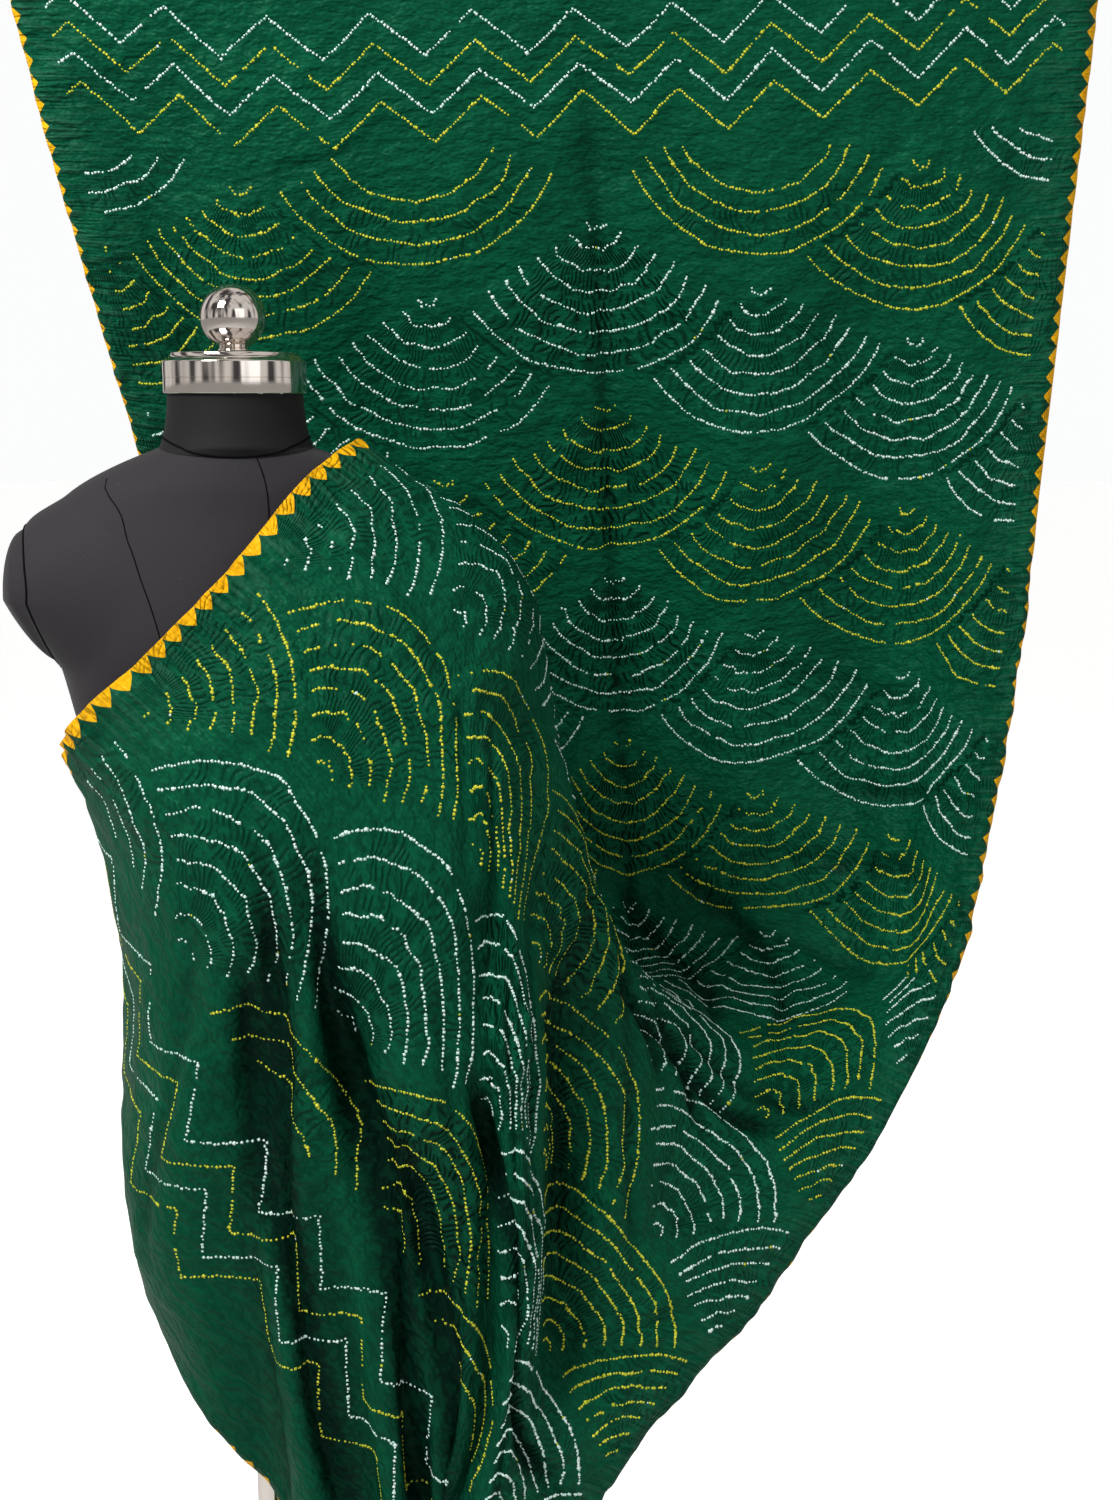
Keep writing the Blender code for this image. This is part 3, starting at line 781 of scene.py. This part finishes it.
def make_cloth(finish):
    u, v, points, normals = cloth_grid()
    rows, columns = u.shape
    mesh = mesh_from("cloth_silk", points.reshape(-1, 3), grid_faces(rows, columns))
    uv = mesh.uv_layers.new(name="cloth")
    corners = np.empty(len(mesh.loops), dtype=np.int32)
    mesh.loops.foreach_get("vertex_index", corners)
    places = np.stack([u.ravel(), v.ravel()], axis=1)
    uv.data.foreach_set("uv", places[corners].astype(np.float32).ravel())
    phase, amount = pucker_field(u, v)
    # painted shade, kept as a point attribute: darker in the creases, and partly in the folds
    crease = fold_depth(CREASES, u, v) / CREASE_SHADE_DEPTH
    crease += FOLD_SHADE * np.clip(fold_depth(FOLDS, u, v) / FOLD_SHADE_DEPTH, 0.0, 1.0)
    crease = np.clip(crease, 0.0, 1.0)
    for name, values in (("pucker_phase", phase), ("pucker_amount", amount), ("crease_painted_shade", crease)):
        layer = mesh.attributes.new(name, "FLOAT", "POINT")
        layer.data.foreach_set("value", values.astype(np.float32).ravel())
    cloth = add_piece("cloth_silk", mesh, finish, "silk", "cloth")
    return cloth, points, normals


def on_grid(grid, u, v):
    """The grid's values at places on the cloth, between its four nearest corners."""
    x = np.clip(u / CLOTH_WIDTH * FINE_ACROSS, 0, FINE_ACROSS - 1e-6)
    y = np.clip(v / CLOTH_LENGTH * FINE_ALONG, 0, FINE_ALONG - 1e-6)
    c, r = x.astype(int), y.astype(int)
    fx, fy = (x - c)[:, None], (y - r)[:, None]
    near = grid[r, c] * (1 - fx) + grid[r, c + 1] * fx
    far = grid[r + 1, c] * (1 - fx) + grid[r + 1, c + 1] * fx
    return near * (1 - fy) + far * fy


def make_dots(name, dots, points, normals, finish):
    """Flattened eight-sided knots that show on both sides of the sheet."""
    u, v, size, spin = dots.T
    centre = on_grid(points, u, v)
    away = on_grid(normals, u, v)
    away /= np.linalg.norm(away, axis=1, keepdims=True)
    along = on_grid(points, u, v + 0.002) - centre
    along -= away * (along * away).sum(1, keepdims=True)
    along /= np.linalg.norm(along, axis=1, keepdims=True)
    across = np.cross(away, along)
    turn, lean = np.cos(spin)[:, None], np.sin(spin)[:, None]
    first, second = along * turn + across * lean, across * turn - along * lean
    radius = (DOT_RADIUS * size)[:, None]
    height = DOT_HEIGHT
    corners = np.stack([
        centre + first * radius, centre + second * radius,
        centre - first * radius, centre - second * radius,
        centre + away * height, centre - away * height], axis=1)
    shape = np.array([(0, 1, 4), (1, 2, 4), (2, 3, 4), (3, 0, 4),
                      (1, 0, 5), (2, 1, 5), (3, 2, 5), (0, 3, 5)])
    faces = (np.arange(len(u)) * 6)[:, None, None] + shape
    outward = np.einsum("ij,ij->i", np.cross(second, first), away).mean()
    faces = faces.reshape(-1, 3)
    if outward > 0:
        faces = faces[:, ::-1]
    mesh = mesh_from(name, corners.reshape(-1, 3), faces)
    return add_piece(name, mesh, finish, "silk")


def lathe(name, outline, count):
    """Closed turned mesh about the Z axis through radius and height pairs, upwards."""
    angle = np.linspace(0, 2 * math.pi, count, endpoint=False)
    rings = [np.stack([radius * np.cos(angle), radius * np.sin(angle), np.full(count, height)], axis=1)
             for radius, height in outline]
    return ringed_mesh(name, np.array(rings), math.radians(40))


def torso_sizes(height):
    """Half width and the depths in front and behind at a height of the torso."""
    rings = np.array(TORSO_RINGS[::-1])
    return curve_through(rings[:, 0], rings[:, 1:], np.atleast_1d(height))


def torso_points(height, angle, proud=0.0):
    """Points on the torso at heights and angles, the angle from +X towards its back."""
    sizes = torso_sizes(height)
    width = sizes[:, 0] + proud
    depth = np.where(np.sin(angle) > 0, sizes[:, 2], sizes[:, 1]) + proud
    x, y = width * np.cos(angle), depth * np.sin(angle)
    # the arm stubs swell out of both sides
    away = np.hypot(y, height - ARM_STUB_HEIGHT)
    dome = 1.0 - np.sqrt(1.0 - np.clip(away / ARM_STUB_RADIUS, 0.0, 1.0) ** 2)
    end = ARM_STUB_REACH - STUB_ROUNDING * dome
    end -= STUB_SLANT * np.clip(ARM_STUB_HEIGHT - height, 0.0, None)
    share = smooth_step((STUB_ROOT - away) / (STUB_ROOT - STUB_FACE))
    share *= smooth_step((np.abs(np.cos(angle)) - STUB_SIDE) / STUB_SIDE)
    x += np.sign(x) * np.maximum(end - np.abs(x), 0.0) * share
    turn_x = x * math.cos(FORM_TURN) - y * math.sin(FORM_TURN)
    turn_y = x * math.sin(FORM_TURN) + y * math.cos(FORM_TURN)
    return np.stack([turn_x, turn_y, np.broadcast_to(height, turn_x.shape)], axis=1)


def ringed_mesh(name, rings, sharp=math.radians(50)):
    """Closed mesh through rings of points, upwards, with an end face on the first and last."""
    count = rings.shape[1]
    faces = []
    for r in range(len(rings) - 1):
        for i in range(count):
            j = (i + 1) % count
            faces.append((r * count + i, r * count + j, (r + 1) * count + j, (r + 1) * count + i))
    faces.append(tuple(range(count))[::-1])
    faces.append(tuple(range((len(rings) - 1) * count, len(rings) * count)))
    mesh = bpy.data.meshes.new(name)
    mesh.from_pydata(rings.reshape(-1, 3).tolist(), [], faces)
    mesh.update()
    mesh.shade_smooth()
    mesh.set_sharp_from_angle(angle=sharp)
    return mesh


def make_torso(finish):
    heights = np.concatenate([np.linspace(TORSO_FOOT, 1.205, 50), np.linspace(1.2075, TORSO_TOP, 96)])
    angle = np.linspace(0, 2 * math.pi, 256, endpoint=False)
    rings = np.array([torso_points(np.full(len(angle), h), angle) for h in heights])
    return add_piece("torso_skin", ringed_mesh("torso_skin", rings), finish, "jersey", "form_torso")


def make_arm_seams(thread):
    """The armhole seam round each arm stub."""
    round_stub = np.linspace(0, 2 * math.pi, 72, endpoint=False)
    y = ARMHOLE_RADIUS * np.cos(round_stub)
    height = ARM_STUB_HEIGHT + ARMHOLE_RADIUS * np.sin(round_stub)
    sizes = torso_sizes(height)
    lean = np.arcsin(y / np.where(y > 0, sizes[:, 2], sizes[:, 1]))
    for angle, name in ((math.pi - lean, "left"), (lean, "right")):
        make_tube(f"arm_seam_{name}", torso_points(height, angle, 0.0002), 0.0009, thread, closed=True)


def make_tube(name, path, radius, finish, closed=False):
    """A thin round thread along a path of points."""
    curve = bpy.data.curves.new(name, "CURVE")
    curve.dimensions = "3D"
    curve.bevel_depth = radius
    curve.bevel_resolution = 2
    curve.use_fill_caps = not closed
    spline = curve.splines.new("POLY")
    spline.points.add(len(path) - 1)
    for point, place in zip(spline.points, path):
        point.co = (*place, 1.0)
    spline.use_cyclic_u = closed
    holder = bpy.data.objects.new(name, curve)
    bpy.context.scene.collection.objects.link(holder)
    graph = bpy.context.evaluated_depsgraph_get()
    mesh = bpy.data.meshes.new_from_object(holder.evaluated_get(graph))
    bpy.data.objects.remove(holder)
    mesh.name = name
    mesh.materials.clear()
    mesh.shade_smooth()
    return add_piece(name, mesh, finish, "jersey")


def make_form_seams(thread):
    """Princess, centre and side seams as thin threads half sunk in the jersey."""
    # heights and angles down each seam; those on the right mirror the left
    seams = {
        "seam_front_centre": [(1.419, -78.0), (1.34, -82.0), (1.20, -86.0), (1.0, -90.0),
                              (TORSO_FOOT, -90.0)],
        "seam_back_centre": [(TORSO_TOP, 90.0), (1.34, 90.0), (1.20, 90.0), (1.0, 90.0),
                             (TORSO_FOOT, 90.0)],
        "seam_front_left": [(1.402, -152.0), (1.381, -131.0), (1.349, -121.0), (1.315, -116.0),
                            (1.20, -111.0), (1.10, -113.0), (0.985, -115.0), (TORSO_FOOT, -115.0)],
        "seam_back_left": [(1.412, 152.0), (1.35, 136.0), (1.285, 126.0), (1.10, 120.0),
                           (TORSO_FOOT, 116.0)],
        "seam_side_left": [(1.235, 180.0), (1.10, 180.0), (0.985, 180.0), (TORSO_FOOT, 180.0)],
    }
    for name in ("seam_front_left", "seam_back_left", "seam_side_left"):
        seams[name.replace("left", "right")] = [(height, 180.0 - angle) for height, angle in seams[name]]
    for name, route in seams.items():
        knots = np.array(route)[::-1]
        height = np.linspace(knots[0, 0] + 0.001, knots[-1, 0] - 0.001, 90)
        angle = np.radians(curve_through(knots[:, 0], knots[:, 1], height))
        make_tube(name, torso_points(height, angle, 0.0001), 0.00055, thread)


def make_neck(finish, thread):
    """The neck's knit and its seam, which dips in front and rises at the sides."""
    outline = [(0.0640, TORSO_TOP + 0.0003), (0.0628, 1.4295), (0.0612, 1.4345), (0.0594, 1.4420),
               (0.0580, 1.4510), (0.0569, 1.4610), (0.0565, NECK_TOP)]
    knots = np.array(outline)
    height = np.linspace(knots[0, 1], knots[-1, 1], 24)
    radius = curve_through(knots[:, 1], knots[:, 0], height)
    count = 128
    angle = np.linspace(0, 2 * math.pi, count, endpoint=False)
    across, back = np.cos(angle + FORM_TURN), np.sin(angle + FORM_TURN)
    upper = [np.stack([r * across, r * back, np.full(count, h)], axis=1) for r, h in zip(radius, height)]
    dip = NECK_DIP * np.clip(-np.sin(angle), 0.0, 1.0) ** 2
    foot = torso_points(TORSO_TOP - dip, angle, 0.0008)
    rings = np.array([foot + (upper[0] - foot) * share for share in (0.0, 0.25, 0.5, 0.75)] + upper)
    add_piece("neck_skin", ringed_mesh("neck_skin", rings), finish, "jersey", "form_neck")
    level = TORSO_TOP + 0.0005 + NECK_RISE * np.cos(angle) ** 2 - dip
    ring = np.array([[np.interp(level[i], rings[:, i, 2], rings[:, i, axis]) for axis in range(3)]
                     for i in range(count)])
    make_tube("neck_seam", ring, 0.0009, thread, closed=True)


def arc_points(radius, centre, start, end, steps):
    """Radius and height pairs round a quarter bend, angles in degrees from level."""
    angles = np.radians(np.linspace(start, end, steps + 1))
    return [(centre[0] + radius * math.cos(a), centre[1] + radius * math.sin(a)) for a in angles]


def make_cap(finish):
    foot = NECK_TOP + 0.0003
    outline = [(0.0560, foot)]
    outline += arc_points(0.0008, (0.0588, foot + 0.0008), -90, 0, 4)
    outline += [(0.0596, foot + 0.0125), (0.0592, foot + 0.0129), (0.0596, foot + 0.0133)]
    outline += arc_points(0.0014, (0.0582, foot + 0.0255), 0, 60, 5)
    outline += [(0.0560, foot + 0.0285), (0.0552, foot + 0.0287)]
    outline += [(0.0524, foot + 0.0320)]
    outline += arc_points(0.0012, (0.0512, foot + 0.0324), 20, 90, 4)
    outline += [(0.0300, foot + 0.0341), (0.0120, foot + 0.0345)]
    mesh = lathe("cap_polished", outline, 160)
    return add_piece("cap_polished", mesh, finish, "chrome", "neck_cap")


def make_ball(finish):
    foot = NECK_TOP + 0.0003 + 0.0345 + 0.0003
    collar = 0.0130
    outline = [(collar, foot)]
    outline += arc_points(0.0008, (collar, foot + 0.0008), -90, 60, 4)
    start = math.degrees(math.acos((collar - 0.0010) / BALL_RADIUS))
    outline += arc_points(BALL_RADIUS, (0.0, BALL_HEIGHT), -start, 87, 44)
    mesh = lathe("ball_polished", outline, 96)
    return add_piece("ball_polished", mesh, finish, "chrome", "ball_finial")


def make_pole(finish):
    low, high = BASE_CROWN + 0.0003, TORSO_FOOT - 0.0003
    outline = [(POLE_RADIUS - 0.0004, low), (POLE_RADIUS, low + 0.0006)]
    outline += [(POLE_RADIUS, high - 0.0006), (POLE_RADIUS - 0.0004, high)]
    add_piece("pole_polished", lathe("pole_polished", outline, 64), finish, "chrome", "stand_pole")
    collar = [(0.0128, low + 0.001)] + arc_points(0.0016, (0.0190, low + 0.0030), -80, 0, 4)
    collar += [(0.0206, low + 0.0200)] + arc_points(0.0016, (0.0190, low + 0.0210), 10, 80, 4)
    collar += [(0.0128, low + 0.0230)]
    add_piece("pole_collar", lathe("pole_collar", collar, 64), finish, "chrome")


def make_base(finish):
    outline = [(BASE_RADIUS - 0.003, 0.0)]
    outline += arc_points(0.003, (BASE_RADIUS - 0.003, 0.003), -80, 0, 4)
    outline += arc_points(0.003, (BASE_RADIUS - 0.003, BASE_RIM - 0.003), 0, 80, 5)
    rise = BASE_CROWN - 0.0064 - BASE_RIM
    for radius in np.linspace(BASE_RADIUS - 0.006, 0.040, 14).tolist():
        share = (BASE_RADIUS - 0.006 - radius) / (BASE_RADIUS - 0.046)
        outline.append((radius, BASE_RIM + 0.0004 + rise * share ** 1.1))
    outline += arc_points(0.008, (0.026, BASE_CROWN - 0.008), 25, 90, 6)
    add_piece("base_painted", lathe("base_painted", outline, 128), finish, "base_paint", "stand_base")


def add_light(name, place, target, width, height, power, tone=(1.0, 1.0, 1.0)):
    light = bpy.data.lights.new(name, "AREA")
    light.shape = "RECTANGLE"
    light.size, light.size_y = width, height
    light.energy = power
    light.color = tone
    lamp = bpy.data.objects.new(name, light)
    bpy.context.scene.collection.objects.link(lamp)
    lamp.location = place
    lamp.rotation_euler = (Vector(target) - Vector(place)).to_track_quat("-Z", "Y").to_euler()


def make_surroundings():
    """A pale floor, a pale sky with soft bands for the metal, and soft studio lights."""
    floor = Shader("floor_pale")
    place = floor.node("ShaderNodeTexCoord").outputs["Object"]
    speck = floor.noise(place, 3.0, 4.0, 0.6)
    seen = floor.node("ShaderNodeLightPath").outputs["Is Camera Ray"]
    floor.set(Base_Color=floor.mix(speck, (0.80, 0.80, 0.79, 1.0), (0.86, 0.86, 0.855, 1.0)),
              Roughness=0.85, Emission_Color=(0.95, 0.96, 0.97, 1.0),
              Emission_Strength=floor.math("MULTIPLY", seen, 0.70))
    mesh = bpy.data.meshes.new("floor")
    reach = 30.0
    mesh.from_pydata([(-reach, -reach, -0.0005), (reach, -reach, -0.0005),
                      (reach, reach, -0.0005), (-reach, reach, -0.0005)], [], [(0, 1, 2, 3)])
    mesh.materials.append(floor.material)
    ground = bpy.data.objects.new("floor", mesh)
    bpy.context.scene.collection.objects.link(ground)

    world = bpy.data.worlds.new("studio")
    bpy.context.scene.world = world
    world.use_nodes = True
    tree = world.node_tree
    sky = tree.nodes["Background"]
    sky.inputs["Color"].default_value = (0.97, 0.975, 0.98, 1.0)
    sky.inputs["Strength"].default_value = 1.0
    room = tree.nodes.new("ShaderNodeBackground")
    room.inputs["Strength"].default_value = 0.26
    coordinates = tree.nodes.new("ShaderNodeTexCoord")
    bands = tree.nodes.new("ShaderNodeTexNoise")
    bands.inputs["Scale"].default_value = 3.4
    bands.inputs["Detail"].default_value = 1.0
    squeeze = tree.nodes.new("ShaderNodeMapping")
    squeeze.inputs["Scale"].default_value = (1.0, 1.0, 0.18)
    tree.links.new(coordinates.outputs["Generated"], squeeze.inputs["Vector"])
    tree.links.new(squeeze.outputs["Vector"], bands.inputs["Vector"])
    ramp = tree.nodes.new("ShaderNodeValToRGB")
    ramp.color_ramp.elements[0].position = 0.43
    ramp.color_ramp.elements[0].color = (0.22, 0.21, 0.22, 1.0)
    ramp.color_ramp.elements[1].position = 0.60
    ramp.color_ramp.elements[1].color = (2.6, 2.5, 2.4, 1.0)
    tree.links.new(bands.outputs["Fac"], ramp.inputs["Fac"])
    tree.links.new(ramp.outputs["Color"], room.inputs["Color"])
    path = tree.nodes.new("ShaderNodeLightPath")
    choose = tree.nodes.new("ShaderNodeMixShader")
    tree.links.new(path.outputs["Is Camera Ray"], choose.inputs["Fac"])
    tree.links.new(room.outputs[0], choose.inputs[1])
    tree.links.new(sky.outputs[0], choose.inputs[2])
    tree.links.new(choose.outputs[0], tree.nodes["World Output"].inputs["Surface"])

    add_light("key", (-1.1, -1.4, 3.0), (0.05, 0.0, 1.25), 0.8, 0.8, 70.0, (1.0, 0.99, 0.97))
    add_light("fill", (2.0, -2.8, 2.2), (0.25, 0.0, 1.1), 2.0, 2.0, 9.0, (0.97, 0.99, 1.0))
    add_light("rear", (0.4, 3.2, 2.6), (0.2, 0.0, 1.2), 2.0, 2.0, 26.0)


def make_camera():
    """The photograph's view: a level-held camera that looks along +Y and a little down."""
    lens = bpy.data.cameras.new("view")
    lens.sensor_width = SENSOR
    lens.lens = SENSOR * FOCAL_PIXELS / IMAGE_LONG_SIDE
    lens.clip_start = 0.05
    camera = bpy.data.objects.new("view", lens)
    bpy.context.scene.collection.objects.link(camera)
    camera.location = CAMERA_PLACE
    camera.rotation_euler = (math.pi / 2 - CAMERA_PITCH, 0.0, 0.0)
    bpy.context.scene.camera = camera


def main():
    bpy.context.scene.view_settings.view_transform = "Standard"
    make_camera()
    cloth, points, normals = make_cloth(silk_material())
    dots = scatter_dots()
    white = make_dots("dots_white", dots[True], points, normals,
                      dot_material("dot_white", *WHITE_TONES))
    yellow = make_dots("dots_yellow", dots[False], points, normals,
                       dot_material("dot_yellow", *YELLOW_TONES))
    thread = seam_material()
    torso = make_torso(jersey_material("form_jersey_knit", 1.0))
    make_arm_seams(thread)
    make_form_seams(thread)
    # the neck's jersey is the torso's, darkened as painted shade
    make_neck(jersey_material("neck_jersey_shaded", NECK_SHADE), thread)
    chrome = chrome_material("polished_chrome", CHROME_TONE, 0.04, 0.12)
    make_cap(chrome)
    make_ball(chrome)
    make_pole(chrome)
    make_base(base_material())
    make_surroundings()


main()
